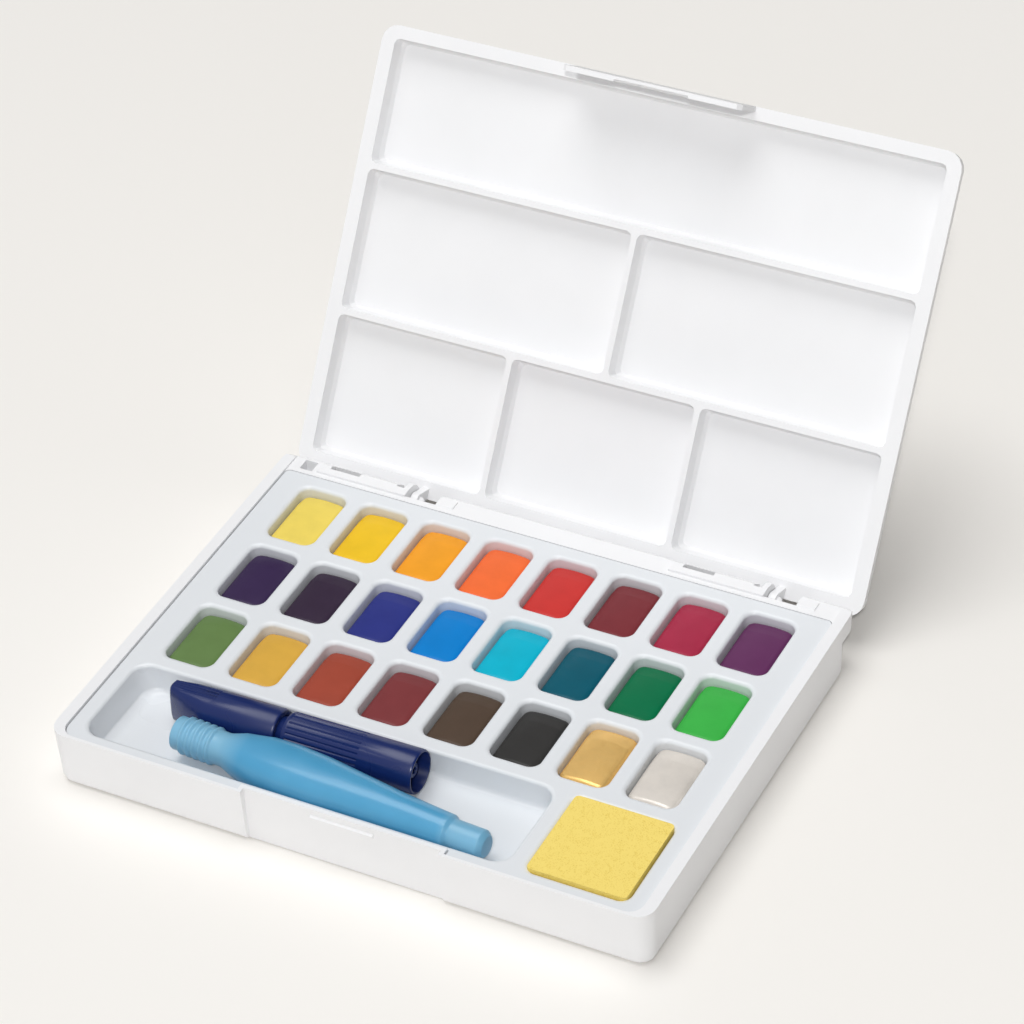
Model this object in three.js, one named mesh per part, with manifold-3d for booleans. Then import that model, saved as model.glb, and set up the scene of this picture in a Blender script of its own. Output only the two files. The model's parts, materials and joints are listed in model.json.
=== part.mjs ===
// Watercolour paint box, open, with its tray of paints, sponge and water brush.
// Millimetres, +Z up, +X to the right, -Y towards the latch.
// The origin is in the middle of the underside.

import * as THREE from 'three';
import { mergeVertices } from 'three/addons/utils/BufferGeometryUtils.js';
import Module from 'manifold-3d';

const wasm = await Module();
wasm.setup();

// Shared sizes
const clearance = 0.3;
const seatGap = 0.05;
const overrun = 3;
const cornerSteps = 2;
const finerSteps = 4;

// Base box
const rimHeight = 19.7;
const caseCorner = 5.5;
const caseDraft = 0.6;
const footInset = 2.4;
const footKnee = 1.1;
const footRise = 2.2;
const floorThickness = 1.8;
const sideRim = 3.7;
const frontRim = 1.1;
const shelfWidth = 1.2;
const hollowCorner = 5;

// Hinge ledge along the back of the base
const ledgeDepth = 9.3;
const ledgeThickness = 6.7;
const tubBackInset = 7.7;
const chamferReach = 3.6;
const chamferDrop = 2.8;
const hingeInset = 3;
const hingeHeight = 14.6;
const openAngle = THREE.MathUtils.degToRad(123.6);

// Tray
const trayDrop = 0.8;
const trayThickness = 1.2;
const trayCorner = 4.5;
const trayBackCorner = 2;
const cupWall = 1.1;
const columns = 8;
const rows = 3;
const wellWidth = 17.2;
const wellLength = 26.4;
const wellLand = 4.8;
const wellCorner = 4;
const wellDepth = 5.9;
const wellDraft = 0.1;
const wellMargin = 8.6;
const lip = 0.45;
const spongeWidth = 33.1;
const troughDepth = 9.3;
const troughCorner = 6;
const troughLand = 4.9;
const troughSlope = 4;
const bottomFillet = 1.6;
const sideLand = 4.6;
const frontLand = 3.4;

// Paint cakes
const cakeGap = 0.3;
const cakeEdge = 3.2;
const cakeCrown = 1.1;
const tallCakeRise = 0.7;

// Sponge
const spongeGap = 0.3;
const spongeRise = 0.7;
const spongeEdge = 0.8;

// Latch
const recessWidth = 64.6;
const recessDepth = 2;
const recessWall = 1.4;
const recessFoot = 0.7;
const catchWidth = 20.6;
const catchReach = 0.7;
const catchHeight = 1.6;
const catchDrop = 3;
const skirtLength = 12.5;
const skirtSideGap = 2.2;
const skirtCorner = 1.4;
const leadInWidth = 25;
const leadInDepth = 0.8;
const leadInHeight = 2.4;

// Lid and palette
const lidThickness = 7;
const lidInside = 5.6;
const lidSideRim = 4.7;
const lidFrontRim = 4.2;
const lidBackRim = 5.6;
const lidBackInset = 3.4;
const lidShoulder = 2.7;
const dividerWidth = 2;
const nearWells = 45.8;
const middleWells = 47.3;
const nearCentreWell = 64.8;
const paletteCorner = 1.9;
const paletteDraft = 0.35;
const paletteFillet = 1.4;

// Hinge modules, each measured from the middle of its pin's round end
const leftHingeInset = 47.9;
const rightHingeInset = 25.3;
const pinRadius = 1.6;
const pinReach = 1;
const armRadius = 2.6;
const armThickness = 2.4;
const armRoot = 3.2;
const earRadius = 4.9;
const earThickness = 1.8;
const slotWidth = 10.9;
const slotInset = 2.3;
const slabLength = 30;
const slabInset = 1.8;
const windowLength = 10.4;
const windowStart = 3.8;
const windowInset = 2.6;
const windowReach = 3.3;
const notchWidth = 2.6;
const notchInset = 1.3;
const blockWidth = 6;
const blockRise = 0.5;
const blockBottom = 15.2;
const pocketWidth = 4.4;
const pocketGap = 1.7;
const pocketReach = 4.5;
const pocketDepth = 5;

// Water brush: the squeeze reservoir
const barrelLength = 106;
const barrelBulge = 8.7;
const barrelThickness = 15.4;
const barrelWall = 1.1;
const neckRadius = 5.2;
const neckLength = 17;
const threadRidges = 5;
const threadPitch = 2.4;
const threadStart = 2.6;
const collarRadius = 5.5;
const plugRadius = 4.6;
const plugLength = 12.5;
const barrelTurn = THREE.MathUtils.degToRad(-3.6);
const barrelSlackShare = 0.75;
const barrelFrontGap = 0.6;

// Water brush: the capped head
const headRadius = 6.9;
const capLength = 37;
const capWall = 1.2;
const capFlatHalf = 2.7;
const capFlatWidth = 6.6;
const capFlatLength = 14;
const capFlatTurn = THREE.MathUtils.degToRad(-43);
const capEdge = 0.7;
const jointGap = 2.5;
const gripLength = 43.3;
const gripWall = 0.7;
const gripBore = 18.5;
const gripGrooves = 24;
const gripGrooveLength = 24;
const capGrooves = 5;
const capGroovePitch = 1.1;
const capGrooveLength = 16;
const grooveDepth = 0.45;
const feedRadius = 2.3;
const feedBore = 1.2;
const feedSet = 2;
const noseRadius = 4.7;
const noseLength = 10;
const ferruleLength = 5;
const noseTip = 3;
const bristleRadius = 1.8;
const bristleLength = 15;
const bristleSocket = 2;
const headTurn = THREE.MathUtils.degToRad(0.8);
const headSlackShare = 0.29;
const headBackGap = 0.45;
const brushGap = 0.9;

// The trough is as wide as the two halves of the brush, and the case as large as its contents
const wallInset = lip + wellDraft;
const brushReach = barrelFrontGap + barrelBulge * 2 + brushGap + headRadius * 2 + headBackGap;
const troughReach = brushReach + wallInset * 2;
const wellsWidth = columns * wellWidth + (columns - 1) * wellLand;
const wellsDepth = rows * (wellLength + wellLand);
const trayWidth = wellsWidth + wellMargin * 2;
const trayDepth = frontLand + troughReach + troughLand + wellsDepth;
const troughLength = trayWidth - sideLand * 2 - troughLand - spongeWidth;
const caseWidth = trayWidth + (clearance + sideRim) * 2;
const caseDepth = frontRim + trayDepth + clearance * 2 + ledgeDepth;

// Places that follow from the sizes above
const front = -caseDepth / 2;
const ledgeBack = caseDepth / 2;
const halfCase = caseWidth / 2;
const tubBack = ledgeBack - tubBackInset;
const trayTop = rimHeight - trayDrop;
const trayUnder = trayTop - trayThickness;
const shelf = trayUnder - seatGap;
const recessFace = front + recessDepth;
const recessInside = recessFace + recessWall;
const halfRecess = recessWidth / 2;
const pocketPlan = {
  left: -halfCase + sideRim,
  right: halfCase - sideRim,
  front: front + frontRim,
  back: ledgeBack - ledgeDepth,
};
const trayPlan = inset(pocketPlan, clearance);
const hinge = new THREE.Vector3(0, ledgeBack - hingeInset, hingeHeight);
const slabFront = pocketPlan.back + slabInset;
const chamferFront = ledgeBack - chamferReach;
const ledgeUnder = rimHeight - ledgeThickness;

// Plans and outlines

function inset(plan, by) {
  return {
    left: plan.left + by,
    right: plan.right - by,
    front: plan.front + by,
    back: plan.back - by,
  };
}

function planAround(x, y, width, length) {
  return { left: x - width / 2, right: x + width / 2, front: y - length / 2, back: y + length / 2 };
}

// The corners of a rounded plan at one height, anticlockwise from above
function ring(plan, radius, z, steps = cornerSteps, backRadius = radius) {
  const points = [];
  const corners = [
    [plan.right - radius, plan.front + radius, radius, -Math.PI / 2],
    [plan.right - backRadius, plan.back - backRadius, backRadius, 0],
    [plan.left + backRadius, plan.back - backRadius, backRadius, Math.PI / 2],
    [plan.left + radius, plan.front + radius, radius, Math.PI],
  ];
  for (const [x, y, bend, start] of corners) {
    for (let step = 0; step <= steps; step += 1) {
      const angle = start + (step / steps) * (Math.PI / 2);
      points.push(new THREE.Vector3(x + bend * Math.cos(angle), y + bend * Math.sin(angle), z));
    }
  }
  return points;
}

// An oval section across X, anticlockwise seen from +X.
// A power of 2 is an ellipse and a higher one is squarer.
function section(x, halfWidth, halfHeight, sides, power = 2, turn = 0) {
  const points = [];
  for (let side = 0; side < sides; side += 1) {
    const angle = (side / sides) * 2 * Math.PI;
    const c = Math.cos(angle);
    const s = Math.sin(angle);
    const y = halfWidth * Math.sign(c) * Math.abs(c) ** (2 / power);
    const z = halfHeight * Math.sign(s) * Math.abs(s) ** (2 / power);
    points.push(new THREE.Vector3(
      x,
      y * Math.cos(turn) - z * Math.sin(turn),
      y * Math.sin(turn) + z * Math.cos(turn),
    ));
  }
  return points;
}

// A skin over rings of equal counts, with flat ends, or joined end to end for a tube
function skin(rings, endless = false) {
  const count = rings[0].length;
  const positions = rings.flat().flatMap((point) => point.toArray());
  const index = [];
  const last = endless ? rings.length : rings.length - 1;
  for (let level = 0; level < last; level += 1) {
    const low = level * count;
    const high = ((level + 1) % rings.length) * count;
    for (let side = 0; side < count; side += 1) {
      const next = (side + 1) % count;
      index.push(low + side, low + next, high + next);
      index.push(low + side, high + next, high + side);
    }
  }
  if (!endless) {
    const top = (rings.length - 1) * count;
    for (let side = 1; side < count - 1; side += 1) {
      index.push(0, side + 1, side);
      index.push(top, top + side, top + side + 1);
    }
  }
  const geometry = new THREE.BufferGeometry();
  geometry.setAttribute('position', new THREE.Float32BufferAttribute(positions, 3));
  geometry.setIndex(index);
  return geometry;
}

function box(left, right, frontFace, back, bottom, top) {
  const geometry = new THREE.BoxGeometry(right - left, back - frontFace, top - bottom);
  geometry.translate((left + right) / 2, (frontFace + back) / 2, (bottom + top) / 2);
  return geometry;
}

// A profile drawn in Y and Z and run along X
function alongX(profile, left, right, curveSegments = finerSteps) {
  const geometry = new THREE.ExtrudeGeometry(profile, {
    depth: right - left,
    bevelEnabled: false,
    curveSegments,
  });
  const toX = new THREE.Matrix4().makeBasis(
    new THREE.Vector3(0, 1, 0),
    new THREE.Vector3(0, 0, 1),
    new THREE.Vector3(1, 0, 0),
  );
  geometry.applyMatrix4(toX);
  geometry.translate(left, 0, 0);
  return geometry;
}

function polygon(points) {
  return new THREE.Shape(points.map(([across, up]) => new THREE.Vector2(across, up)));
}

function disc(y, z, radius) {
  return new THREE.Shape().absarc(y, z, radius, 0, 2 * Math.PI);
}

// Joins and cuts

function toSolid(geometry) {
  const bare = geometry.clone();
  bare.deleteAttribute('normal');
  bare.deleteAttribute('uv');
  const merged = mergeVertices(bare);
  return new wasm.Manifold(new wasm.Mesh({
    numProp: 3,
    vertProperties: new Float32Array(merged.attributes.position.array),
    triVerts: new Uint32Array(merged.index.array),
  }));
}

function toGeometry(solid) {
  const mesh = solid.getMesh();
  const geometry = new THREE.BufferGeometry();
  geometry.setAttribute('position', new THREE.Float32BufferAttribute(mesh.vertProperties, 3));
  geometry.setIndex(Array.from(mesh.triVerts));
  return geometry;
}

function shaped(start, joined, removed = []) {
  let solid = toSolid(start);
  for (const piece of joined) {
    solid = solid.add(toSolid(piece));
  }
  for (const piece of removed) {
    solid = solid.subtract(toSolid(piece));
  }
  return toGeometry(solid);
}

// Materials

function plastic(color, roughness, name) {
  const material = new THREE.MeshStandardMaterial({ color, roughness, metalness: 0 });
  material.name = name;
  return material;
}

const caseWhite = plastic('#f3f3f1', 0.35, 'case_white');
const trayWhite = plastic('#e4e7e9', 0.4, 'tray_white');
const navy = plastic('#1d2c66', 0.3, 'navy');
const reservoirBlue = plastic('#5aaad2', 0.3, 'reservoir_blue');
const bristleCream = plastic('#e9e3d2', 0.6, 'bristle_cream');
const spongeYellow = plastic('#efd670', 0.95, 'sponge_yellow');

function mesh(name, geometry, material) {
  const piece = new THREE.Mesh(geometry, material);
  piece.name = name;
  return piece;
}

// Base box

const casePlan = { left: -halfCase, right: halfCase, front, back: ledgeBack };

// Sides with a little draft on a rounded foot
function footed(plan, corner, top) {
  return skin([
    ring(inset(plan, footInset), corner - footInset, 0, finerSteps),
    ring(inset(plan, footKnee), corner - footKnee, footRise / 3, finerSteps),
    ring(inset(plan, caseDraft), corner - caseDraft, footRise, finerSteps),
    ring(plan, corner, top, finerSteps),
  ]);
}

// The room under the hinge ledge, behind the tub's rounded back
function roomUnderLedge() {
  const tub = {
    left: -halfCase - clearance,
    right: halfCase + clearance,
    front: front - overrun,
    back: tubBack,
  };
  const room = box(
    -halfCase - overrun,
    halfCase + overrun,
    tubBack - caseCorner * 2,
    ledgeBack + overrun,
    -overrun,
    ledgeUnder,
  );
  return shaped(room, [], [footed(tub, caseCorner, rimHeight), underTub()]);
}

function underTub() {
  return box(
    -halfCase - clearance,
    halfCase + clearance,
    front,
    tubBack - caseCorner,
    -overrun * 2,
    footRise,
  );
}

// The back edge of the ledge falls away so that the lid's rim can swing past it
function ledgeChamfer() {
  return alongX(polygon([
    [chamferFront, rimHeight],
    [ledgeBack, rimHeight - chamferDrop],
    [ledgeBack + chamferReach, rimHeight - chamferDrop * 2],
    [ledgeBack + chamferReach, rimHeight + overrun],
    [chamferFront, rimHeight + overrun],
  ]), -halfCase - overrun, halfCase + overrun);
}

function hingeX(pin) {
  const armRight = pin;
  const armLeft = armRight - armThickness;
  const earRight = armLeft - clearance;
  const earLeft = earRight - earThickness;
  const slabLeft = earLeft - slabLength;
  const slotRight = earRight + slotWidth;
  return { armRight, armLeft, earRight, earLeft, slabLeft, slotRight };
}

const hinges = [hingeX(leftHingeInset - halfCase), hingeX(halfCase - rightHingeInset)];

// Between its slabs the ledge is as low as the tray
function ledgeLowering() {
  const inner = pocketPlan.right;
  const back = ledgeBack + overrun;
  const top = rimHeight + overrun;
  const strip = pocketPlan.back - overrun;
  const [first, second] = hinges;
  return [
    box(-inner, inner, strip, slabFront, trayTop, top),
    box(-inner, first.slabLeft, strip, back, trayTop, top),
    box(first.earRight, second.slabLeft, strip, back, trayTop, top),
    box(second.earRight, inner, strip, back, trayTop, top),
  ];
}

function hingeEar(at) {
  return alongX(disc(hinge.y, hinge.z, earRadius), at.earLeft, at.earRight, finerSteps * 2);
}

// A low block closes each hinge slot on the right
function hingeBlock(at) {
  return alongX(polygon([
    [slabFront, blockBottom],
    [chamferFront, blockBottom],
    [chamferFront, trayTop + blockRise],
    [slabFront + blockRise, trayTop + blockRise],
    [slabFront, trayTop],
  ]), at.slotRight, at.slotRight + blockWidth);
}

function hingeCuts(at) {
  const under = ledgeUnder - overrun;
  const top = rimHeight + overrun;
  const back = ledgeBack + overrun;
  const slotFront = pocketPlan.back + slotInset;
  const windowLeft = at.slabLeft + windowStart;
  const windowFront = slabFront + windowInset;
  const notchFront = hinge.y - notchInset;
  return [
    box(at.earRight, at.slotRight, slotFront, back, under, top),
    box(windowLeft, windowLeft + windowLength, windowFront, windowFront + windowReach, under, top),
    box(at.earLeft - notchWidth, at.earLeft, notchFront, back, under - overrun, top),
    alongX(
      disc(hinge.y, hinge.z, pinRadius + clearance),
      at.earLeft - notchWidth,
      at.earRight + clearance,
      finerSteps * 2,
    ),
  ];
}

// A small blind pocket beside the left slab
function blindPocket() {
  const right = hinges[0].slabLeft - pocketGap;
  return box(
    right - pocketWidth,
    right,
    slabFront,
    slabFront + pocketReach,
    trayTop - pocketDepth,
    rimHeight + overrun,
  );
}

// The recess wall and what stands in front of it stay whole when the inside is hollowed
function besideRecess(by) {
  return box(
    -halfRecess - recessWall - by,
    halfRecess + recessWall + by,
    front - overrun,
    recessInside + by,
    0,
    rimHeight + overrun * 2,
  );
}

function trayPocket() {
  const pocket = skin([
    ring(pocketPlan, trayCorner, shelf, finerSteps, trayBackCorner),
    ring(pocketPlan, trayCorner, rimHeight + overrun, finerSteps, trayBackCorner),
  ]);
  return shaped(pocket, [], [besideRecess(0)]);
}

function tubHollow() {
  const plan = inset(pocketPlan, shelfWidth);
  const hollow = skin([
    ring(inset(plan, footInset), hollowCorner - footInset, floorThickness),
    ring(inset(plan, caseDraft), hollowCorner - caseDraft, floorThickness + footRise),
    ring(plan, hollowCorner, shelf + overrun),
  ]);
  return shaped(hollow, [], [besideRecess(recessFoot)]);
}

function catchRidge() {
  const z = rimHeight - catchDrop;
  const half = catchHeight / 2;
  return alongX(polygon([
    [recessFace - catchReach, z + half / 3],
    [recessFace - catchReach, z - half / 3],
    [recessFace, z - half],
    [recessFace + catchReach, z - half],
    [recessFace + catchReach, z + half],
    [recessFace, z + half],
  ]), -catchWidth / 2, catchWidth / 2);
}

function latchRecess() {
  return box(-halfRecess, halfRecess, front - overrun, recessFace, -overrun, rimHeight + overrun);
}

function baseBox() {
  const shell = shaped(
    footed(casePlan, caseCorner, rimHeight),
    [],
    [roomUnderLedge(), ledgeChamfer(), ...ledgeLowering(), latchRecess()],
  );
  const hollowed = shaped(
    shell,
    [...hinges.map(hingeBlock), catchRidge()],
    [trayPocket(), tubHollow(), blindPocket()],
  );
  return shaped(hollowed, hinges.map(hingeEar), hinges.flatMap(hingeCuts));
}

// Tray: wells, trough and sponge pocket hang from one flat plate

const middleX = 0;
const wellPitchX = wellWidth + wellLand;
const wellPitchY = wellLength + wellLand;
const firstRowY = trayPlan.back - wellLand - wellLength / 2;
const lastRowY = firstRowY - (rows - 1) * wellPitchY;

function wellPlan(row, column) {
  const x = middleX + (column - (columns - 1) / 2) * wellPitchX;
  return planAround(x, firstRowY - row * wellPitchY, wellWidth, wellLength);
}

const troughBack = lastRowY - wellLength / 2 - troughLand;
const troughPlan = {
  left: trayPlan.left + sideLand,
  right: trayPlan.left + sideLand + troughLength,
  front: troughBack - troughReach,
  back: troughBack,
};
const spongePlan = {
  left: troughPlan.right + troughLand,
  right: trayPlan.right - sideLand,
  front: troughPlan.front,
  back: troughPlan.back,
};
const wellFloor = trayTop - wellDepth;
const troughFloor = trayTop - troughDepth;

// A hollow with a softened lip: its own cut, or with a wall the cup around it
function hollowRings(plan, radius, floor, draft, slope = 0) {
  const inner = inset(plan, lip);
  const wall = inset(inner, draft);
  const sloped = { ...wall, left: wall.left + slope / 2 };
  const bottom = inset({ ...wall, left: wall.left + slope }, bottomFillet);
  return [
    ring(bottom, radius - lip - bottomFillet, floor, finerSteps),
    ring(sloped, radius - lip, floor + bottomFillet, finerSteps),
    ring(inner, radius - lip, trayTop - lip, finerSteps),
    ring(inset(plan, -lip), radius + lip, trayTop + lip, finerSteps),
  ];
}

function cupRings(plan, radius, floor, draft, slope = 0) {
  const outer = inset(plan, lip - cupWall);
  const wall = inset(outer, draft);
  const bottom = { ...wall, left: wall.left + slope };
  return [
    ring(inset(bottom, bottomFillet), radius - bottomFillet, floor - cupWall),
    ring({ ...wall, left: wall.left + slope / 2 }, radius, floor + bottomFillet - cupWall),
    ring(outer, radius, trayTop - trayThickness / 2),
  ];
}

// A well is plain and straight, with a small draft
function wellCut(plan) {
  return skin([
    ring(inset(plan, wallInset), wellCorner - lip, wellFloor),
    ring(inset(plan, lip), wellCorner - lip, trayTop - lip),
    ring(inset(plan, -lip), wellCorner + lip, trayTop + lip),
  ]);
}

function wellCup(plan) {
  return skin([
    ring(inset(plan, wallInset - cupWall), wellCorner, wellFloor - cupWall),
    ring(inset(plan, lip - cupWall), wellCorner, trayTop - trayThickness / 2),
  ]);
}

function paintTray() {
  const corner = trayCorner - clearance;
  const backCorner = trayBackCorner - clearance;
  const plate = skin([
    ring(trayPlan, corner, trayUnder, finerSteps, backCorner),
    ring(trayPlan, corner, trayTop, finerSteps, backCorner),
  ]);
  const cups = [];
  const cuts = [besideRecess(clearance)];
  for (let row = 0; row < rows; row += 1) {
    for (let column = 0; column < columns; column += 1) {
      const plan = wellPlan(row, column);
      cups.push(wellCup(plan));
      cuts.push(wellCut(plan));
    }
  }
  cups.push(skin(cupRings(troughPlan, troughCorner, troughFloor, wellDraft, troughSlope)));
  cuts.push(skin(hollowRings(troughPlan, troughCorner, troughFloor, wellDraft, troughSlope)));
  cups.push(skin(cupRings(spongePlan, wellCorner, troughFloor, wellDraft)));
  cuts.push(skin(hollowRings(spongePlan, wellCorner, troughFloor, wellDraft)));
  return shaped(plate, cups, cuts);
}

// Paint cakes: pressed blocks with a crowned top

const paints = [
  [
    ['lemon_yellow', '#f0d765'], ['cadmium_yellow', '#efc42b'], ['yellow_orange', '#f4a32b'],
    ['orange', '#f4703a'], ['vermilion', '#cc3b37'], ['madder', '#7f3337'],
    ['crimson', '#a92f49'], ['violet', '#67325d'],
  ],
  [
    ['deep_violet', '#3c2a4f'], ['indigo', '#3a2c40'], ['ultramarine', '#2f3684'],
    ['sky_blue', '#0c80cc'], ['turquoise', '#0ab3cc'], ['teal', '#0f5968'],
    ['emerald', '#067a50'], ['light_green', '#3cb44b'],
  ],
  [
    ['olive_green', '#68854e'], ['ochre', '#dcac48'], ['rust', '#a54a38'],
    ['brown_red', '#813a3d'], ['umber', '#554438'], ['black', '#353434'],
    ['gold', '#d4ac66'], ['pearl_white', '#e0d9d0'],
  ],
];

function cake(plan, rise) {
  const foot = inset(plan, wallInset + cakeGap);
  const radius = wellCorner - lip - cakeGap;
  const edge = wellFloor + cakeEdge + rise;
  return skin([
    ring(foot, radius, wellFloor + seatGap),
    ring(foot, radius, edge),
    ring(inset(foot, cakeCrown / 2), radius - cakeCrown / 2, edge + cakeCrown / 2),
    ring(inset(foot, cakeCrown * 1.5), radius - cakeCrown, edge + cakeCrown * 0.8),
    ring(inset(foot, cakeCrown * 3), radius / 4, edge + cakeCrown),
  ]);
}

function cakes() {
  const group = new THREE.Group();
  paints.forEach((row, rowIndex) => {
    row.forEach(([name, color], column) => {
      const raised = name === 'gold' || name === 'pearl_white';
      const geometry = cake(wellPlan(rowIndex, column), raised ? tallCakeRise : 0);
      const number = rowIndex * columns + column + 1;
      const label = `cake_${String(number).padStart(2, '0')}_${name}`;
      group.add(mesh(label, geometry, plastic(color, 0.55, name)));
    });
  });
  return group;
}

// Sponge

function sponge() {
  const plan = inset(spongePlan, wallInset + spongeGap);
  const corner = wellCorner - lip - spongeGap;
  const bottom = troughFloor + seatGap;
  const top = trayTop + spongeRise;
  return skin([
    ring(inset(plan, bottomFillet), corner - bottomFillet, bottom, finerSteps),
    ring(plan, corner, bottom + bottomFillet, finerSteps),
    ring(plan, corner, top - spongeEdge, finerSteps),
    ring(inset(plan, spongeEdge), corner - spongeEdge, top, finerSteps),
  ]);
}

// Lid, drawn closed with the hinge axis as its origin

const lidRimZ = rimHeight + clearance - hinge.z;
const lidPlan = {
  left: -halfCase,
  right: halfCase,
  front: front - hinge.y,
  back: ledgeBack - lidBackInset - hinge.y,
};
const palettePlan = {
  left: lidPlan.left + lidSideRim,
  right: lidPlan.right - lidSideRim,
  front: lidPlan.front + lidFrontRim,
  back: lidPlan.back - lidBackRim,
};

// How far the lid's sides lean in, as shares of its shoulder, at shares of its thickness
const lidSideShares = [[0, 0], [0.16, 0.51], [0.44, 0.84], [1, 1]];

function lidBody() {
  return skin(lidSideShares.map(([lean, rise]) => {
    const by = lidShoulder * lean;
    return ring(inset(lidPlan, by), caseCorner - by, lidRimZ + lidThickness * rise, finerSteps);
  }));
}

function paletteWell(plan) {
  const floor = lidRimZ + lidInside;
  return skin([
    ring(inset(plan, -paletteDraft), paletteCorner, lidRimZ - overrun),
    ring(inset(plan, paletteDraft), paletteCorner, floor - paletteFillet),
    ring(inset(plan, paletteFillet), paletteCorner - paletteDraft, floor),
  ]);
}

function paletteWells() {
  const half = dividerWidth / 2;
  const firstDivider = palettePlan.back - nearWells;
  const secondDivider = firstDivider - middleWells;
  const near = { ...palettePlan, front: firstDivider + half };
  const middle = { ...palettePlan, back: firstDivider - half, front: secondDivider + half };
  const far = { ...palettePlan, back: secondDivider - half };
  const split = nearCentreWell / 2;
  return [
    far,
    { ...middle, right: middleX - half },
    { ...middle, left: middleX + half },
    { ...near, right: -split - half },
    { ...near, left: -split + half, right: split - half },
    { ...near, left: split + half },
  ];
}

// The skirt is narrower than its recess, with the corners of its free edge cut off
function latchSkirt() {
  const inner = lidPlan.front + recessDepth - clearance;
  const half = halfRecess - skirtSideGap;
  const free = lidRimZ - skirtLength;
  const top = lidRimZ + clearance;
  const outline = polygon([
    [-half, top],
    [-half, free + skirtCorner],
    [-half + skirtCorner, free],
    [half - skirtCorner, free],
    [half, free + skirtCorner],
    [half, top],
  ]);
  const geometry = new THREE.ExtrudeGeometry(outline, {
    depth: recessDepth - clearance,
    bevelEnabled: false,
  });
  geometry.rotateX(Math.PI / 2);
  geometry.translate(0, inner, 0);
  return geometry;
}

// The skirt's inner face clears the catch and opens towards its free edge
function skirtCuts() {
  const inner = lidPlan.front + recessDepth - clearance;
  const catchZ = rimHeight - catchDrop - hinge.z;
  const room = catchHeight / 2 + clearance;
  const free = lidRimZ - skirtLength;
  const pocket = box(
    -leadInWidth / 2,
    leadInWidth / 2,
    inner - catchReach,
    inner + recessDepth,
    catchZ - room,
    catchZ + room,
  );
  const leadIn = alongX(polygon([
    [inner - leadInDepth, free],
    [inner - leadInDepth, free - clearance],
    [inner + recessDepth, free - clearance],
    [inner + recessDepth, free + leadInHeight],
    [inner, free + leadInHeight],
  ]), -leadInWidth / 2, leadInWidth / 2);
  return [pocket, leadIn];
}

const pinSides = 16;

// An arm reaches down to the axis, with its pin on the left and a round end on the right
function hingeArm(at) {
  const rim = new THREE.Shape();
  const rimBack = lidPlan.back - clearance;
  const rimFront = rimBack - armRoot;
  rim.moveTo(rimBack, lidRimZ + clearance);
  rim.lineTo(rimFront, lidRimZ + clearance);
  rim.lineTo(rimFront, lidRimZ - clearance);
  rim.lineTo(-armRadius, 0);
  rim.absarc(0, 0, armRadius, Math.PI, 2 * Math.PI);
  rim.lineTo(armRadius, armRadius / 2);
  rim.lineTo(rimBack, lidRimZ - clearance);
  return alongX(rim, at.armLeft, at.armRight, finerSteps * 2);
}

function hingePin(at) {
  const rings = [section(at.earLeft - pinReach, pinRadius, pinRadius, pinSides)];
  for (let step = 0; step < finerSteps; step += 1) {
    const angle = (step / finerSteps) * (Math.PI / 2);
    const radius = pinRadius * Math.cos(angle);
    rings.push(section(at.armRight + pinRadius * Math.sin(angle), radius, radius, pinSides));
  }
  return skin(rings);
}

function lid() {
  const joined = [latchSkirt(), ...hinges.map(hingeArm), ...hinges.map(hingePin)];
  const removed = [...paletteWells().map(paletteWell), ...skirtCuts()];
  return shaped(lidBody(), joined, removed);
}

function lidGroup() {
  const group = new THREE.Group();
  group.position.copy(hinge);
  group.rotation.x = -openAngle;
  group.add(mesh('lid', lid(), caseWhite));
  return group;
}

// Squeeze reservoir, drawn along X from the middle of its neck's open end

const barrelSides = 20;
const bulgeHalf = barrelThickness / 2;
const bulgeShare = 0.37;

// Places along the barrel, widths and heights as shares, and how square each section is
const bodyShares = [
  [0.21, 0.79, 0.86, 2.2],
  [0.29, 0.96, 0.97, 2.5],
  [bulgeShare, 1, 1, 2.6],
  [0.47, 0.965, 0.98, 2.5],
  [0.59, 0.84, 0.91, 2.3],
  [0.72, 0.73, 0.82, 2],
];

// A ridge's outline, as shares of the thread's pitch and of its height
const ridgeShares = [[0, 0], [0.25, 1], [0.45, 1], [0.7, 0]];

function threadSections() {
  const rise = headRadius - gripWall - clearance - neckRadius;
  const rings = [];
  for (let ridge = 0; ridge < threadRidges; ridge += 1) {
    for (const [along, high] of ridgeShares) {
      const radius = neckRadius + high * rise;
      rings.push(section(threadStart + (ridge + along) * threadPitch, radius, radius, barrelSides));
    }
  }
  return rings;
}

// The outline of the reservoir, or of its inside a wall's thickness further in
function barrelSections(by, thread = []) {
  const neck = neckRadius - by;
  const collar = collarRadius - by;
  const shoulder = neckLength + barrelWall;
  return [
    section(0, neck, neck, barrelSides),
    ...thread,
    section(neckLength, neck, neck, barrelSides),
    section(shoulder, collar, collar, barrelSides),
    ...bodyShares.map(([along, wide, high, power]) => (
      section(along * barrelLength, wide * barrelBulge - by, high * bulgeHalf - by, barrelSides, power)
    )),
    section(barrelLength - plugLength, collar, collar, barrelSides),
  ];
}

function reservoir() {
  const shoulder = barrelLength - plugLength;
  const tip = plugRadius * 0.7;
  return skin([
    ...barrelSections(barrelWall).reverse(),
    ...barrelSections(0, threadSections()),
    section(shoulder + barrelWall, plugRadius, plugRadius, barrelSides),
    section(barrelLength - plugRadius / 3, plugRadius, plugRadius, barrelSides),
    section(barrelLength, tip, tip, barrelSides),
  ]);
}

const barrelAxisZ = troughFloor + clearance + bulgeHalf;
const barrelMiddleY = troughPlan.front + wallInset + barrelFrontGap + barrelBulge;

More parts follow.
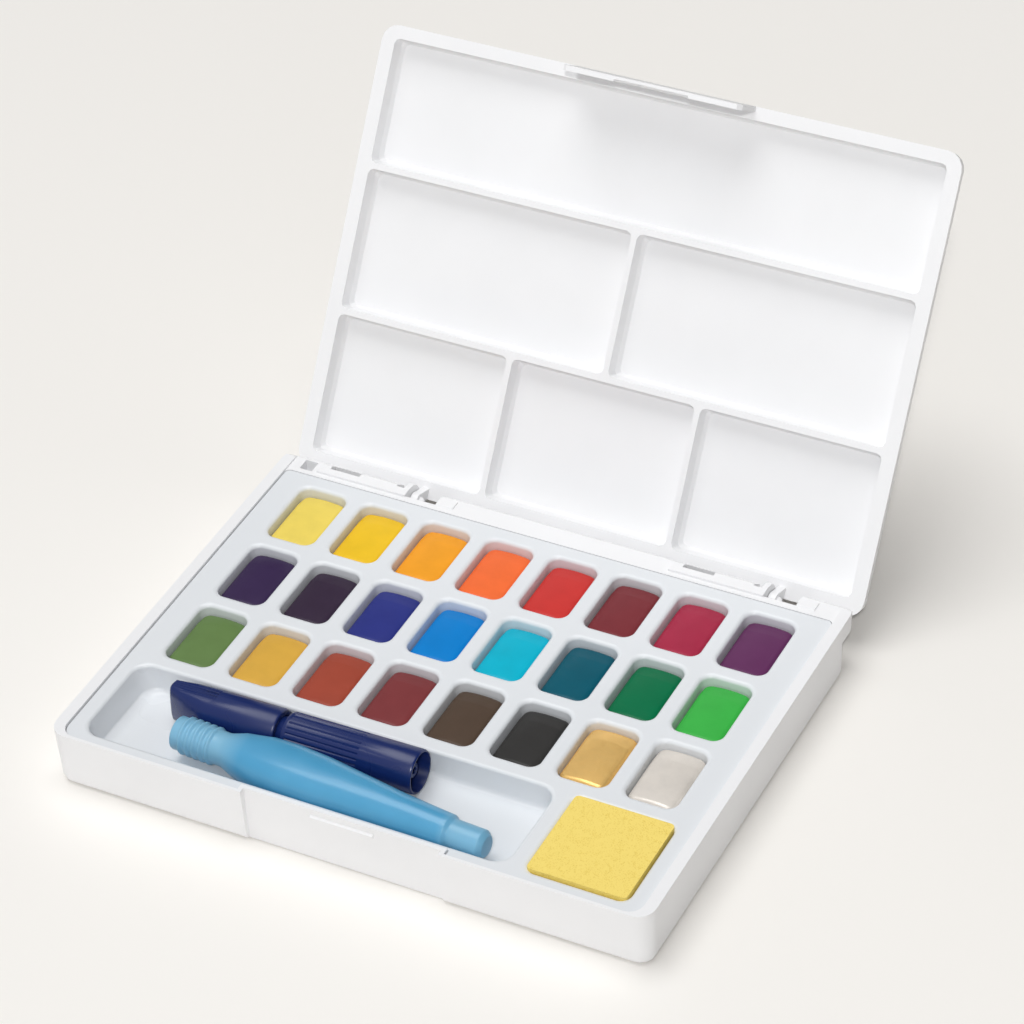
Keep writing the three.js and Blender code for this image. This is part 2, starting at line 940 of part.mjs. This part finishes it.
function reservoirGroup() {
  const group = new THREE.Group();
  const x = troughPlan.left + (troughLength - barrelLength) * barrelSlackShare;
  const bulgeX = barrelLength * bulgeShare;
  group.position.set(x, barrelMiddleY - bulgeX * Math.sin(barrelTurn), barrelAxisZ);
  group.rotation.z = barrelTurn;
  group.add(mesh('brush_reservoir', reservoir(), reservoirBlue));
  return group;
}

// Capped brush head, drawn along X from the cap's flat end

const headSides = 20;
const bristleSides = 10;
const gripStart = capLength + jointGap;
const noseStart = gripStart - noseLength;
const noseEnd = noseStart - ferruleLength;

function capSection(x, halfThickness, halfWidth, power) {
  return section(x, halfThickness, halfWidth, headSides, power, capFlatTurn);
}

// A V-shaped cutter along X, at a distance out from the axis and a distance aside of that
function vGroove(angle, out, aside, start, end) {
  const radial = new THREE.Vector2(Math.cos(angle), Math.sin(angle));
  const across = new THREE.Vector2(-radial.y, radial.x);
  const middle = radial.clone().multiplyScalar(out).addScaledVector(across, aside);
  const corners = [radial, across, radial.clone().negate(), across.clone().negate()];
  const outline = new THREE.Shape(corners.map((corner) => (
    middle.clone().addScaledVector(corner, grooveDepth)
  )));
  return alongX(outline, start, end);
}

// The cap's grooves are on the two narrow edges of its flat end
function capGrooveCuts() {
  const cuts = [];
  for (const edge of [capFlatTurn + Math.PI / 2, capFlatTurn - Math.PI / 2]) {
    for (let groove = 0; groove < capGrooves; groove += 1) {
      const aside = (groove - (capGrooves - 1) / 2) * capGroovePitch;
      cuts.push(vGroove(edge, capFlatWidth, aside, -capEdge, capGrooveLength));
    }
  }
  return cuts;
}

// Flat and square at its closed end, round at its mouth, with a blind bore
function brushCap() {
  const bore = noseRadius + clearance;
  const flatBore = capFlatHalf - capWall / 2;
  const mouthEdge = headRadius - capEdge / 2;
  const halfway = capFlatLength / 2;
  const between = (capFlatHalf + headRadius) / 2;
  const body = skin([
    capSection(0, capFlatHalf - capEdge, capFlatWidth - capEdge, 4),
    capSection(capEdge, capFlatHalf, capFlatWidth, 4),
    capSection(halfway, between, capFlatWidth, 3),
    capSection(capFlatLength, headRadius, headRadius, 2),
    capSection(capLength - capEdge, headRadius, headRadius, 2),
    capSection(capLength, mouthEdge, mouthEdge, 2),
    capSection(capLength, bore, bore, 2),
    capSection(capFlatLength, bore, bore, 2),
    capSection(halfway, between - capWall, bore, 2),
    capSection(capWall * 2, flatBore - capEdge, bore / 2, 2),
  ]);
  return shaped(body, [], capGrooveCuts());
}

// The grip's grooves run lengthwise all the way round it
function gripGrooveCuts() {
  const start = gripStart + capEdge * 2;
  const cuts = [];
  for (let groove = 0; groove < gripGrooves; groove += 1) {
    const angle = (groove / gripGrooves) * 2 * Math.PI;
    cuts.push(vGroove(angle, headRadius, 0, start, start + gripGrooveLength));
  }
  return cuts;
}

function brushGrip() {
  const end = gripStart + gripLength;
  const boreRadius = headRadius - gripWall;
  const boreEnd = end - gripBore;
  const edge = headRadius - capEdge / 2;
  const profile = [
    [noseEnd, noseTip],
    [noseStart - capWall, noseTip],
    [noseStart, noseRadius],
    [gripStart, noseRadius],
    [gripStart, edge],
    [gripStart + capEdge, headRadius],
    [end - capEdge, headRadius],
    [end, edge],
    [end, boreRadius],
    [boreEnd, boreRadius],
    [boreEnd, feedRadius],
    [end - feedSet, feedRadius],
    [end - feedSet, feedBore],
    [boreEnd, feedBore],
  ];
  const body = skin(profile.map(([x, radius]) => section(x, radius, radius, headSides)));
  const socketRadius = bristleRadius + clearance;
  const socket = skin([
    section(noseEnd - overrun, socketRadius, socketRadius, headSides),
    section(noseEnd + bristleSocket + clearance, socketRadius, socketRadius, headSides),
  ]);
  return shaped(body, [], [socket, ...gripGrooveCuts()]);
}

function bristles() {
  const root = noseEnd + bristleSocket;
  const tip = noseEnd - bristleLength;
  const taperShares = [[0, 0.15], [0.3, 0.75], [0.65, 1]];
  return skin([
    ...taperShares.map(([along, wide]) => (
      section(tip + along * bristleLength, wide * bristleRadius, wide * bristleRadius, bristleSides)
    )),
    section(root, bristleRadius, bristleRadius, bristleSides),
  ]);
}

function headGroup() {
  const group = new THREE.Group();
  const reach = gripStart + gripLength;
  const x = troughPlan.left + (troughLength - reach) * headSlackShare;
  const y = troughPlan.back - wallInset - headBackGap - headRadius;
  group.position.set(x, y - reach * Math.sin(headTurn), troughFloor + clearance + headRadius);
  group.rotation.z = headTurn;
  group.add(mesh('brush_cap', brushCap(), navy));
  group.add(mesh('brush_grip', brushGrip(), navy));
  group.add(mesh('brush_bristles', bristles(), bristleCream));
  return group;
}

// The whole paint box

const paintBox = new THREE.Group();
paintBox.add(mesh('base_box', baseBox(), caseWhite));
paintBox.add(mesh('paint_tray', paintTray(), trayWhite));
paintBox.add(lidGroup());
paintBox.add(cakes());
paintBox.add(mesh('sponge', sponge(), spongeYellow));
paintBox.add(reservoirGroup());
paintBox.add(headGroup());

export default paintBox;
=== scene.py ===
import json
import math

import bmesh
import bpy
from mathutils import Matrix, Vector


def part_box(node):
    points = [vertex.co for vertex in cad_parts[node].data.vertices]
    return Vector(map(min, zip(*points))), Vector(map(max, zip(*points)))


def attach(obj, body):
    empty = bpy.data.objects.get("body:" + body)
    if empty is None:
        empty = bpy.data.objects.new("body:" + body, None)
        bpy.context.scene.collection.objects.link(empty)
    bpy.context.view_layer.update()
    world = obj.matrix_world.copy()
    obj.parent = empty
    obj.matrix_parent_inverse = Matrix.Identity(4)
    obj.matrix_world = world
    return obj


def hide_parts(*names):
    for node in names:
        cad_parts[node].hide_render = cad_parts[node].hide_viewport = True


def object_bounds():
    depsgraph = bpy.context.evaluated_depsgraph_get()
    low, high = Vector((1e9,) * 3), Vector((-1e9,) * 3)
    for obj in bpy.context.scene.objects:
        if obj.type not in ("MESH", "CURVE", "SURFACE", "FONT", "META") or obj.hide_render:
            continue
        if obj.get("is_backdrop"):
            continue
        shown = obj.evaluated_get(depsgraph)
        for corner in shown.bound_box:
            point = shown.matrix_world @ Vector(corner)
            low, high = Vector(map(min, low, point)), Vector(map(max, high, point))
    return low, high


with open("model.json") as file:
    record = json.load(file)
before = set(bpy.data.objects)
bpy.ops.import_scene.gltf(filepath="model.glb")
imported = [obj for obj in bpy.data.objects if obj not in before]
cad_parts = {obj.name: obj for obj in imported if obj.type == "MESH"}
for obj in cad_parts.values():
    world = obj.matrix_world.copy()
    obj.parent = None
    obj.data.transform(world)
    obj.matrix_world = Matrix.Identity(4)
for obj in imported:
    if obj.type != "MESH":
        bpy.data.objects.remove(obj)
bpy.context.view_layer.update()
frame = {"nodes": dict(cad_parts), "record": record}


# Camera
# The box is seen from the front right and from above, through a long lens.
# The place and the turns are fitted to the straight edges of the case and to the grid of wells.

camera = bpy.data.objects.new("camera", bpy.data.cameras.new("camera"))
camera.location = (0.46214, -0.77696, 0.80775)
camera.rotation_euler = [math.radians(turn) for turn in (50.99, 3.144, 26.948)]
camera.data.lens = 141.39
camera.data.sensor_width = 36
bpy.context.scene.collection.objects.link(camera)
bpy.context.scene.camera = camera


# Studio
# A cream floor without a horizon, under a pale dome that darkens towards the back right.
# The key lamp is close to the lens, so the box hides most of the shadow that it throws. A wide
# lamp over the hinge lights the floor and the tray, and leaves a soft shadow round the case.


class Wire:
    """A shader socket that can be used in sums."""

    def __init__(self, finish, socket):
        self.finish = finish
        self.socket = socket

    def maths(self, operation, *values):
        return self.finish.node("ShaderNodeMath", {"operation": operation}, dict(enumerate(values)))[0]

    def __add__(self, other):
        return self.maths("ADD", self, other)

    def __radd__(self, other):
        return self.maths("ADD", other, self)

    def __sub__(self, other):
        return self.maths("SUBTRACT", self, other)

    def __rsub__(self, other):
        return self.maths("SUBTRACT", other, self)

    def __mul__(self, other):
        return self.maths("MULTIPLY", self, other)

    def __rmul__(self, other):
        return self.maths("MULTIPLY", other, self)


class Finish:
    """A material and the nodes that feed its surface."""

    def __init__(self, name, **values):
        self.material = bpy.data.materials.new(name)
        self.material.use_nodes = True
        self.tree = self.material.node_tree
        self.surface = self.tree.nodes["Principled BSDF"]
        self.feed(**values)

    def feed(self, **values):
        """Set or link sockets of the surface, with _ in their names for a space."""
        self.set(self.surface, {key.replace("_", " "): value for key, value in values.items()})

    def set(self, made, sockets):
        for key, value in sockets.items():
            if isinstance(value, Wire):
                self.tree.links.new(value.socket, made.inputs[key])
            elif made.inputs[key].type == "RGBA":
                made.inputs[key].default_value = (*value, 1)
            else:
                made.inputs[key].default_value = value

    def node(self, kind, settings, sockets):
        """A new node's outputs. The stops of a ramp are grey shades at their places."""
        made = self.tree.nodes.new(kind)
        for key, value in settings.items():
            if key == "stops":
                for stop, (place, shade) in zip(made.color_ramp.elements, value):
                    stop.position = place
                    stop.color = (shade, shade, shade, 1)
            else:
                setattr(made, key, value)
        self.set(made, sockets)
        return [Wire(self, socket) for socket in made.outputs]

    def place(self):
        """Object coordinates, in metres."""
        return self.node("ShaderNodeTexCoord", {}, {})[3]

    def noise(self, scale, detail, roughness=0.5):
        """Soft noise, whose scale is about its swells to a metre."""
        sockets = {"Vector": self.place(), "Scale": scale, "Detail": detail, "Roughness": roughness}
        return self.node("ShaderNodeTexNoise", {}, sockets)[0]

    def cells(self, scale):
        """The distance to the nearest of many scattered points, in a scale as for the noise."""
        return self.node("ShaderNodeTexVoronoi", {}, {"Vector": self.place(), "Scale": scale})[0]

    def ramp(self, wire, low, high, first=0.0, last=1.0):
        """Go from the first value to the last one while the wire goes from low to high."""
        stops = [(low, first), (high, last)]
        return self.node("ShaderNodeValToRGB", {"stops": stops}, {"Fac": wire})[0]

    def mix(self, share, first, second):
        sockets = {0: share, 6: first, 7: second}
        return self.node("ShaderNodeMix", {"data_type": "RGBA"}, sockets)[2]

    def bump(self, height, strength, distance):
        sockets = {"Height": height, "Strength": strength, "Distance": distance}
        self.feed(Normal=self.node("ShaderNodeBump", {}, sockets)[0])


def colour(red, green, blue):
    """A colour as it looks on a screen, from 0 to 255, turned into light."""
    shares = [channel / 255 for channel in (red, green, blue)]
    return tuple(c / 12.92 if c <= 0.04045 else ((c + 0.055) / 1.055) ** 2.4 for c in shares)


def scaled(shade, factor):
    """A shade made lighter or darker."""
    return tuple(min(1, channel * factor) for channel in shade)


paper = Finish("backdrop_paper", Base_Color=colour(247, 244, 239), Roughness=0.9, Specular_IOR_Level=0.1)

mm = 0.001
floor_half = 6
floor_gap = 0.2 * mm
floor_shape = bmesh.new()
bmesh.ops.create_grid(floor_shape, x_segments=1, y_segments=1, size=floor_half)
floor_mesh = bpy.data.meshes.new("floor")
floor_shape.to_mesh(floor_mesh)
floor_shape.free()
floor = bpy.data.objects.new("floor", floor_mesh)
floor.location.z = -floor_gap
floor.data.materials.append(paper.material)
bpy.context.scene.collection.objects.link(floor)
floor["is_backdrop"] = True

dark_side = (0.6, 0.75, 0.25)
pale_until, pale_light = 0.1, (0.97, 0.98, 1, 1)
dark_from, dark_light = 0.4, (0.03, 0.03, 0.03, 1)
dome_strength = 0.5

world = bpy.data.worlds.new("studio")
world.use_nodes = True
dome = world.node_tree.nodes["Background"]
facing = world.node_tree.nodes.new("ShaderNodeTexCoord")
rightward = world.node_tree.nodes.new("ShaderNodeVectorMath")
rightward.operation = "DOT_PRODUCT"
rightward.inputs[1].default_value = dark_side
fade = world.node_tree.nodes.new("ShaderNodeValToRGB")
fade.color_ramp.elements[0].position = pale_until
fade.color_ramp.elements[0].color = pale_light
fade.color_ramp.elements[1].position = dark_from
fade.color_ramp.elements[1].color = dark_light
world.node_tree.links.new(facing.outputs["Generated"], rightward.inputs[0])
world.node_tree.links.new(rightward.outputs["Value"], fade.inputs["Fac"])
world.node_tree.links.new(fade.outputs["Color"], dome.inputs["Color"])
dome.inputs["Strength"].default_value = dome_strength
bpy.context.scene.world = world

aim = Vector((0, 0, 0.03))
lamps = [
    ("key_lamp", Vector((1.05, -2.04, 2.23)), 0.14, 32.0),
    ("top_lamp", Vector((-0.4, 0.18, 3.2)), 2.1, 55.0),
]
for name, place, size, power in lamps:
    lamp = bpy.data.objects.new(name, bpy.data.lights.new(name, "AREA"))
    lamp.data.size = size
    lamp.data.energy = power
    lamp.location = place
    lamp.rotation_euler = (aim - place).to_track_quat("-Z", "Y").to_euler()
    bpy.context.scene.collection.objects.link(lamp)

bpy.context.scene.view_settings.view_transform = "Standard"


# Case: base box and lid
# Two injection moulded shells of white polystyrene, satin, with softened edges.
# The lid turns on pins that are moulded on its arms, and its inside is the mixing palette.

merge_gap = 0.002 * mm
shell_edge = 0.3 * mm
lid_edge = 0.2 * mm


def rounded(shape, edges, radius, segments):
    """Round edges off to a radius."""
    bmesh.ops.bevel(
        shape,
        geom=edges,
        offset=radius,
        offset_type="OFFSET",
        segments=segments,
        profile=0.5,
        affect="EDGES",
        clamp_overlap=True,
        material=-1,
    )


def packed(node):
    """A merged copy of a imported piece."""
    shape = bmesh.new()
    shape.from_mesh(frame["nodes"][node].data)
    bmesh.ops.remove_doubles(shape, verts=shape.verts[:], dist=merge_gap)
    return shape


def joined(shape, degrees):
    """Join the faces that meet at less than an angle."""
    bmesh.ops.dissolve_limit(
        shape,
        angle_limit=math.radians(degrees),
        verts=shape.verts[:],
        edges=shape.edges[:],
    )


def sharp_edges(shape):
    corner = math.radians(32)
    return [e for e in shape.edges if e.is_manifold and e.calc_face_angle() > corner]


def finished(shape, name, smooth=40):
    """An object made of a shape, shaded smooth over edges of up to an angle in degrees."""
    mesh = bpy.data.meshes.new(name)
    shape.to_mesh(mesh)
    shape.free()
    mesh.polygons.foreach_set("use_smooth", [True] * len(mesh.polygons))
    mesh.set_sharp_from_angle(angle=math.radians(smooth))
    piece = bpy.data.objects.new(name, mesh)
    bpy.context.scene.collection.objects.link(piece)
    return piece


def finer(node, name, edge):
    """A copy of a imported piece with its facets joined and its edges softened."""
    shape = packed(node)
    joined(shape, degrees=0.8)
    rounded(shape, sharp_edges(shape), edge, segments=2)
    return finished(shape, name)


def evened(piece):
    """Shade broad faces flat up to their softened edges."""
    piece.modifiers.new("flat_faces", "WEIGHTED_NORMAL").keep_sharp = True
    return piece


def dress(piece, finish, body, node):
    """Give a piece its finish and the body that carries it, and hide the imported node that it stands in
    for.
    """
    piece.data.materials.append(finish.material)
    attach(piece, body)
    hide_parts(node)


def moulded(name, shade, roughness):
    """Moulded plastic: even in colour, with a faint grain and slow changes of gloss."""
    made = Finish(name, IOR=1.49)
    slow = made.noise(scale=38, detail=2)
    grain = made.noise(scale=2600, detail=1)
    made.feed(Roughness=made.ramp(slow, 0.3, 0.7, first=roughness - 0.05, last=roughness + 0.07))
    made.feed(Base_Color=made.mix(made.ramp(slow, 0.35, 0.75), shade, scaled(shade, 0.975)))
    made.bump(grain, strength=0.12, distance=0.02 * mm)
    return made


case_white = moulded("case_white", colour(243, 243, 244), 0.36)

shell = evened(finer("base_box", "case_shell", shell_edge))
dress(shell, case_white, "base", "base_box")

palette_lid = evened(finer("lid", "palette_lid", lid_edge))
dress(palette_lid, case_white, "lid", "lid")


# Paint tray
# A thin insert of cooler white, whose wells, brush trough and sponge pocket are one moulding.
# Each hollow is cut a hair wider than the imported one, with round corners and a soft lip.

tray_low, tray_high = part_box("paint_tray")
tray_edge = 0.25 * mm
outline_width = 4.2 * mm
outline_depth = 1.3 * mm

well_spare = Vector((0.45 * mm, 0.45 * mm, 0.1 * mm))
well_corner = 3.6 * mm
well_lip = 1.2 * mm

trough_floor = tray_high.z - 9.35 * mm
trough_front = tray_low.y + 3.8 * mm
trough_back = trough_front + 33.45 * mm
trough_left = tray_low.x + 5 * mm
trough_right = tray_low.x + 145.4 * mm
trough_corner = 5.6 * mm
trough_slope = 4 * mm
trough_lip = 1.0 * mm
trough_foot = 1.6 * mm

pocket_left = tray_high.x - 37.3 * mm
pocket_right = tray_high.x - 5 * mm
pocket_corner = 3.6 * mm

corner_segments = 8
foot_segments = 5
lip_segments = 4

hollows = bmesh.new()


def centred_block(size):
    shape = bmesh.new()
    bmesh.ops.create_cube(shape, size=1)
    bmesh.ops.scale(shape, vec=size, verts=shape.verts[:])
    return shape


def upright(edge):
    along = edge.verts[0].co - edge.verts[1].co
    return abs(along.z) > along.length / 2


def lean_left_end(shape, low, size, foot, slope):
    """Lean the left wall: it starts further in at the floor, and keeps its place at the top."""
    for vertex in shape.verts:
        above = vertex.co.z - low.z
        if vertex.co.x < low.x + size.x / 2:
            if above < foot:
                share = 1 - above / foot / 2
            else:
                share = (size.z - above) / (size.z - foot) / 2
            vertex.co.x += slope * share


def open_lip(shape, middle, size, lip):
    """Flare the top of a cutter in a quarter round, and take it straight past the tray's face."""
    face = max(shape.faces, key=lambda f: f.calc_center_median().z)
    space = Matrix.Translation(-middle)
    wide, rise = 0.0, 0.0
    for step in range(1, lip_segments + 2):
        angle = math.radians(90 / lip_segments * min(step, lip_segments))
        out = lip * (1 - math.cos(angle))
        up = lip * math.sin(angle)
        if step > lip_segments:
            up += lip
        grown = bmesh.ops.extrude_face_region(shape, geom=[face])["geom"]
        if face.is_valid:
            shape.faces.remove(face)
        face = next(g for g in grown if isinstance(g, bmesh.types.BMFace))
        share_x = (size.x + 2 * out) / (size.x + 2 * wide)
        share_y = (size.y + 2 * out) / (size.y + 2 * wide)
        bmesh.ops.scale(shape, vec=(share_x, share_y, 1), space=space, verts=face.verts[:])
        bmesh.ops.translate(shape, vec=(0, 0, up - rise), verts=face.verts[:])
        wide, rise = out, up


def hollow(low, high, corner, lip, foot=0.0, slope=0.0):
    """Add a cutter with round corners that opens out to a lip at the tray's face."""
    high = Vector((high.x, high.y, tray_high.z - lip))
    size = high - low
    middle = (low + high) / 2
    shape = centred_block(size)
    bmesh.ops.translate(shape, vec=middle, verts=shape.verts[:])
    rounded(shape, [e for e in shape.edges if upright(e)], corner, corner_segments)
    if foot:
        bottom = [e for e in shape.edges if max(v.co.z for v in e.verts) < low.z + foot / 2]
        rounded(shape, bottom, foot, foot_segments)
    if slope:
        lean_left_end(shape, low, size, foot, slope)
    open_lip(shape, middle, size, lip)
    bmesh.ops.recalc_face_normals(shape, faces=shape.faces[:])
    mesh = bpy.data.meshes.new("hollow")
    shape.to_mesh(mesh)
    shape.free()
    hollows.from_mesh(mesh)
    bpy.data.meshes.remove(mesh)


def on_outline(vertex):
    """Whether a vertex is on the rim that runs round the tray."""
    aside = min(vertex.co.x - tray_low.x, tray_high.x - vertex.co.x)
    ahead = min(vertex.co.y - tray_low.y, tray_high.y - vertex.co.y)
    return min(aside, ahead) < outline_width and vertex.co.z > tray_high.z - outline_depth


def cut(shape, cutters):
    """A shape less its cutters, as a new bmesh."""
    insert = finished(shape, "uncut_tray")
    cutter = finished(cutters, "tray_hollows")
    cutting = insert.modifiers.new("hollows", "BOOLEAN")
    cutting.operation = "DIFFERENCE"
    cutting.solver = "EXACT"
    cutting.object = cutter
    bpy.context.view_layer.update()
    now = bpy.context.evaluated_depsgraph_get()
    left = bmesh.new()
    left.from_mesh(bpy.data.meshes.new_from_object(insert.evaluated_get(now)))
    bpy.data.objects.remove(cutter)
    bpy.data.objects.remove(insert)
    return left


for node in frame["nodes"]:
    if node.startswith("cake_"):
        low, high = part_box(node)
        hollow(low - well_spare, high + well_spare, well_corner, well_lip)
hollow(
    Vector((trough_left, trough_front, trough_floor)),
    Vector((trough_right, trough_back, 0)),
    trough_corner,
    trough_lip,
    trough_foot,
    trough_slope,
)
hollow(
    Vector((pocket_left, trough_front, trough_floor)),
    Vector((pocket_right, trough_back, 0)),
    pocket_corner,
    trough_lip,
    trough_foot,
)

shape = cut(packed("paint_tray"), hollows)
joined(shape, degrees=0.3)
bmesh.ops.triangulate(shape, faces=[f for f in shape.faces if len(f.verts) > 4], ngon_method="BEAUTY")
outline = [e for e in sharp_edges(shape) if all(on_outline(v) for v in e.verts)]
rounded(shape, outline, tray_edge, segments=2)
insert = evened(finished(shape, "tray_insert"))
level = 0.999
for face in insert.data.polygons:
    if face.normal.z > level:
        face.use_smooth = False
tray_white = moulded("tray_white", colour(229, 232, 235), 0.32)
dress(insert, tray_white, "tray", "paint_tray")


# Paint cakes
# Pressed watercolour, smooth and slightly domed from the mould, with a satin skin.
# The gold and the pearl white hold mica, which glints in the surface.

cakes = [
    ("cake_01_lemon_yellow", (240, 215, 101)),
    ("cake_02_cadmium_yellow", (241, 196, 40)),
    ("cake_03_yellow_orange", (245, 163, 40)),
    ("cake_04_orange", (245, 112, 56)),
    ("cake_05_vermilion", (204, 56, 52)),
    ("cake_06_madder", (124, 48, 54)),
    ("cake_07_crimson", (168, 44, 72)),
    ("cake_08_violet", (100, 48, 92)),
    ("cake_09_deep_violet", (58, 42, 78)),
    ("cake_10_indigo", (56, 42, 62)),
    ("cake_11_ultramarine", (46, 54, 130)),
    ("cake_12_sky_blue", (4, 128, 206)),
    ("cake_13_turquoise", (4, 180, 206)),
    ("cake_14_teal", (6, 88, 106)),
    ("cake_15_emerald", (2, 112, 70)),
    ("cake_16_light_green", (62, 180, 74)),
    ("cake_17_olive_green", (104, 132, 78)),
    ("cake_18_ochre", (220, 172, 72)),
    ("cake_19_rust", (164, 74, 56)),
    ("cake_20_brown_red", (128, 58, 60)),
    ("cake_21_umber", (84, 68, 56)),
    ("cake_22_black", (54, 53, 52)),
    ("cake_23_gold", (240, 196, 118)),
    ("cake_24_pearl_white", (224, 217, 208)),
]
mica = {"gold": 0.75, "pearl_white": 0.3}

cake_corner = 2.6 * mm
cake_rim = 1.7 * mm
cake_segments = 6
cake_slices = 12
arch_drop = 0.9 * mm
bend_from_back = 5.8 * mm
bend_blend = 0.2 * mm
bend_middle = 3 * mm
bend_slope = 0.15


def pressed_paint(name, shade):
    """Gum-bound pigment: deep in colour, with a satin skin and small pits."""
    made = Finish(name, IOR=1.45, Specular_IOR_Level=0.22)
    cloudy = made.noise(scale=160, detail=3)
    pits = made.noise(scale=1500, detail=3, roughness=0.6)
    made.feed(Base_Color=made.mix(made.ramp(cloudy, 0.35, 0.7), shade, scaled(shade, 0.93)))
    made.feed(Roughness=made.ramp(pits, 0.3, 0.75, first=0.3, last=0.42))
    made.bump(cloudy * 3 + pits, strength=0.25, distance=0.05 * mm)
    return made


def shimmering_paint(name, shade, metal):
    """Pigment with flakes of mica, brighter and duller in slow clouds."""
    made = Finish(name, IOR=1.5)
    flakes = made.cells(scale=2600)
    cloudy = made.noise(scale=140, detail=3)
    bright = scaled(shade, 1.08)
    dull = scaled(shade, 0.92)
    made.feed(Base_Color=made.mix(made.ramp(cloudy, 0.35, 0.7), bright, dull))
    made.feed(Metallic=made.ramp(flakes, 0.1, 0.6, first=metal, last=metal / 2))
    made.feed(Roughness=made.ramp(cloudy, 0.3, 0.7, first=0.28, last=0.42))
    made.bump(flakes + cloudy * 2, strength=0.15, distance=0.05 * mm)
    return made


def slice_through(shape, place, across):
    """Cut a shape's faces at a plane, so that it can bend there."""
    every = shape.verts[:] + shape.edges[:] + shape.faces[:]
    bmesh.ops.bisect_plane(shape, geom=every, plane_co=place, plane_no=across)


def cake_block(node):
    """A block with rounded corners and edges, arched from side to side and bent at the back."""
    low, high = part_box(node)
    size = high - low
    shape = centred_block(size)
    rounded(shape, [e for e in shape.edges if upright(e)], cake_corner, cake_segments)
    rim = [e for e in shape.edges if min(v.co.z for v in e.verts) > 0]
    rounded(shape, rim, cake_rim, cake_segments)
    for step in range(1, cake_slices):
        slice_through(shape, (size.x * (step / cake_slices - 0.5), 0, 0), (1, 0, 0))
    bend = size.y / 2 - bend_from_back
    for place in (bend - bend_blend, bend + bend_blend, bend + bend_middle):
        slice_through(shape, (0, place, 0), (0, 1, 0))
    for vertex in shape.verts:
        if vertex.co.z > 0:
            aside = 2 * vertex.co.x / size.x
            vertex.co.z -= arch_drop * aside * aside
            vertex.co.z -= bend_slope * max(0, vertex.co.y - bend)
    bmesh.ops.translate(shape, vec=(low + high) / 2, verts=shape.verts[:])
    return finished(shape, node.replace("cake_", "paint_"), smooth=60)


for node, shade in cakes:
    pigment = node.split("_", 2)[2]
    if pigment in mica:
        finish = shimmering_paint(pigment, colour(*shade), mica[pigment])
    else:
        finish = pressed_paint(pigment, colour(*shade))
    dress(cake_block(node), finish, "tray", node)


# Sponge
# A dry block of open-pored yellow foam, cut square with its upright corners rounded off.
# It lies loose in its pocket and stands a little above the tray.

sponge_corner = 1.3 * mm

low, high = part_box("sponge")
shape = centred_block(high - low)
rounded(shape, [e for e in shape.edges if upright(e)], sponge_corner, segments=3)
bmesh.ops.translate(shape, vec=(low + high) / 2, verts=shape.verts[:])
block = finished(shape, "sponge_block")
foam = Finish("sponge_foam", Roughness=0.95)
pores = foam.cells(scale=1900)
coarse = foam.noise(scale=520, detail=3)
openness = foam.ramp(pores * 0.7 + coarse * 0.6, 0.2, 0.62)
# The pits are painted a darker, deeper yellow than the open foam: painted shade in the pores.
foam.feed(Base_Color=foam.mix(openness, colour(232, 200, 84), colour(247, 221, 118)))
foam.bump(openness, strength=0.55, distance=0.2 * mm)
dress(block, foam, "sponge", "sponge")


# Water reservoir
# A squeeze barrel blown in clear blue and frosted by its mould, with a threaded neck.
# It is paler and duller at the neck and at the plugged end.

reservoir_edge = 0.2 * mm
neck_from, neck_until = 0.16, 0.24
plug_from, plug_until = 0.86, 0.9
plug_frost = 0.8

reservoir = finer("brush_reservoir", "water_reservoir", reservoir_edge)
low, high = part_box("brush_reservoir")
clear_blue = Finish("clear_blue", IOR=1.5, Transmission_Weight=0.3, Coat_Weight=0.15)
x = clear_blue.node("ShaderNodeSeparateXYZ", {}, {"Vector": clear_blue.place()})[0]
along = (x - low.x) * (1 / (high.x - low.x))
frost = clear_blue.ramp(along, neck_from, neck_until, first=1.0, last=0.0)
frost = frost + clear_blue.ramp(along, plug_from, plug_until, last=plug_frost)
cloudy = clear_blue.ramp(clear_blue.noise(scale=60, detail=2), 0.3, 0.7)
barrel = clear_blue.mix(cloudy, colour(88, 180, 226), colour(100, 188, 232))
clear_blue.feed(Base_Color=clear_blue.mix(frost * 0.75, barrel, colour(158, 214, 240)))
clear_blue.feed(Roughness=clear_blue.ramp(frost, 0.0, 1.0, first=0.3, last=0.45))
dress(reservoir, clear_blue, "reservoir", "brush_reservoir")


# Capped brush
# A grip and a push-on cap of glossy navy polystyrene, ribbed for the fingers.
# The cap is turned on its axis from its packed place, so that a narrow, ribbed edge of its flat
# end lies uppermost. The bristles are held in the nose of the grip, inside the cap.

brush_edge = 0.12 * mm
bristle_edge = 0.1 * mm
cap_turn = math.radians(38)

navy = moulded("navy", colour(18, 38, 96), 0.28)
cap = finer("brush_cap", "cap", brush_edge)
low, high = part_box("brush_grip")
middle = Matrix.Translation(-(low + high) / 2)
joints = frame["record"]["behaviour"]["joints"]
pull = next(joint for joint in joints if joint["name"] == "cap_pull")
turn = Matrix.Rotation(cap_turn, 4, Vector(pull["axis"]))
cap.data.transform(middle.inverted() @ turn @ middle)
dress(cap, navy, "cap", "brush_cap")
dress(finer("brush_grip", "grip", brush_edge), navy, "grip", "brush_grip")
tuft = finer("brush_bristles", "bristle_tuft", bristle_edge)
fibre = Finish("bristle_fibre", Base_Color=colour(232, 226, 208), Roughness=0.6)
dress(tuft, fibre, "grip", "brush_bristles")


low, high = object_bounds()
